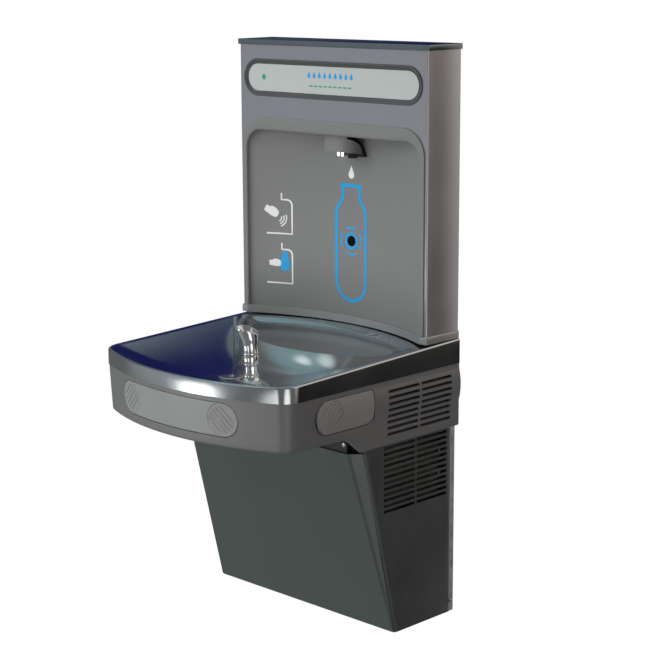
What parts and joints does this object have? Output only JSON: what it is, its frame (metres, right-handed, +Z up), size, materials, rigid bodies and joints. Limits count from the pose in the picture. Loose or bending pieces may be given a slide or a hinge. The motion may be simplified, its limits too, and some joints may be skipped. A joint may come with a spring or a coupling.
{
  "type": "drinking fountain",
  "caption": "Wall-hung chilled drinking fountain with a stainless basin, bubbler, push bars, and a sensor bottle-filling tower above.",
  "frame": {"origin": "bottom centre of the back plane, on the wall", "axes": "+X to the right seen from the front, -Y out from the wall towards the user, +Z up"},
  "size_m": [0.473, 0.478, 1.02],
  "materials": {
    "stainless": "brushed, vertical grain",
    "galvanised": "matt zinc",
    "liner_plastic": "satin moulded",
    "dark_plastic": "matt",
    "sign": "glossy, back-lit",
    "circuit_board": "matt",
    "black_rubber": "matt",
    "lens_white": "glossy",
    "water_tube": "satin",
    "lens_black": "glossy",
    "basin_steel": "satin",
    "chrome": "polished",
    "brass": "turned",
    "housing_grey": "satin",
    "bar_grey": "satin",
    "spring_steel": "bright",
    "plunger_red": "satin",
    "cabinet_steel": "dark brushed",
    "black_iron": "black enamel",
    "condenser_metal": "mill finish",
    "motor_grey": "satin",
    "copper": "drawn copper",
    "foam": "foam"
  },
  "bodies": {
    "unit": {"tower_shell": "stainless", "tower_cap": "stainless", "tower_back": "galvanised", "alcove_liner": "liner_plastic", "base_collar": "stainless", "sign_frame": "dark_plastic", "sign_panel": "sign", "sign_light_board": "circuit_board", "nozzle_cover": "liner_plastic", "nozzle_aerator": "black_rubber", "nozzle_lights": "lens_white", "filler_tube": "water_tube", "sensor_window": "lens_black", "sensor_board": "circuit_board", "basin": "basin_steel", "bubbler_body": "chrome", "bubbler_hood": "chrome", "bubbler_nut": "brass", "drain_strainer": "chrome", "strainer_screw": "chrome", "drain_tailpiece": "chrome", "drain_trap": "chrome", "trap_nuts": "chrome", "housing": "housing_grey", "bar_frame": "galvanised", "springs_front": "spring_steel", "springs_right": "spring_steel", "springs_left": "spring_steel", "bar_switches": "dark_plastic", "cabinet_wrap": "cabinet_steel", "bottom_pan": "galvanised", "back_frame": "galvanised", "panel_screws": "spring_steel", "compressor": "black_iron", "compressor_feet": "black_rubber", "condenser": "condenser_metal", "fan_shroud": "dark_plastic", "fan_motor": "motor_grey", "filter_drier": "copper", "refrigerant_lines": "copper", "tank": "stainless", "tank_insulation": "foam", "filler_valve": "dark_plastic", "bubbler_valve": "dark_plastic", "water_lines": "water_tube", "supply_stub": "brass", "control_box": "galvanised", "power_gland": "black_rubber", "thermostat": "dark_plastic"},
    "front_bar": {"push_bar_front": "bar_grey"},
    "right_bar": {"push_bar_right": "bar_grey"},
    "left_bar": {"push_bar_left": "bar_grey"},
    "front_plunger": {"plunger_front": "plunger_red"},
    "right_plunger": {"plunger_right": "plunger_red"},
    "left_plunger": {"plunger_left": "plunger_red"},
    "fan": {"fan_blade": "dark_plastic", "fan_shaft": "spring_steel"},
    "filler_armature": {"filler_plunger": "spring_steel"},
    "bubbler_armature": {"bubbler_plunger": "spring_steel"}
  },
  "joints": [
    {"name": "front_bar_press", "type": "slide", "parent": "unit", "child": "front_bar", "axis": [0, 1, 0], "range_m": [0, 0.0035], "stiffness_N_per_m": 1500, "springref_m": -0.003, "deforming": ["springs_front"]},
    {"name": "right_bar_press", "type": "slide", "parent": "unit", "child": "right_bar", "axis": [-1, 0, 0], "range_m": [0, 0.0035], "stiffness_N_per_m": 1500, "springref_m": -0.003, "deforming": ["springs_right"]},
    {"name": "left_bar_press", "type": "slide", "parent": "unit", "child": "left_bar", "axis": [1, 0, 0], "range_m": [0, 0.0035], "stiffness_N_per_m": 1500, "springref_m": -0.003, "deforming": ["springs_left"]},
    {"name": "front_switch_press", "type": "slide", "parent": "unit", "child": "front_plunger", "axis": [0, 1, 0], "range_m": [0, 0.0035]},
    {"name": "right_switch_press", "type": "slide", "parent": "unit", "child": "right_plunger", "axis": [-1, 0, 0], "range_m": [0, 0.0035]},
    {"name": "left_switch_press", "type": "slide", "parent": "unit", "child": "left_plunger", "axis": [1, 0, 0], "range_m": [0, 0.0035]},
    {"name": "fan_spin", "type": "hinge", "parent": "unit", "child": "fan", "pos_m": [0.16, -0.108, 0.28], "axis": [1, 0, 0], "continuous": true},
    {"name": "filler_valve_lift", "type": "slide", "parent": "unit", "child": "filler_armature", "axis": [0, -1, 0], "range_m": [0, 0.002], "stiffness_N_per_m": 400, "springref_m": -0.002},
    {"name": "bubbler_valve_lift", "type": "slide", "parent": "unit", "child": "bubbler_armature", "axis": [0, -1, 0], "range_m": [0, 0.002], "stiffness_N_per_m": 400, "springref_m": -0.002}
  ],
  "couplings": [
    {"joint": "front_switch_press", "follows": "front_bar_press", "ratio": 1},
    {"joint": "right_switch_press", "follows": "right_bar_press", "ratio": 1},
    {"joint": "left_switch_press", "follows": "left_bar_press", "ratio": 1}
  ]
}
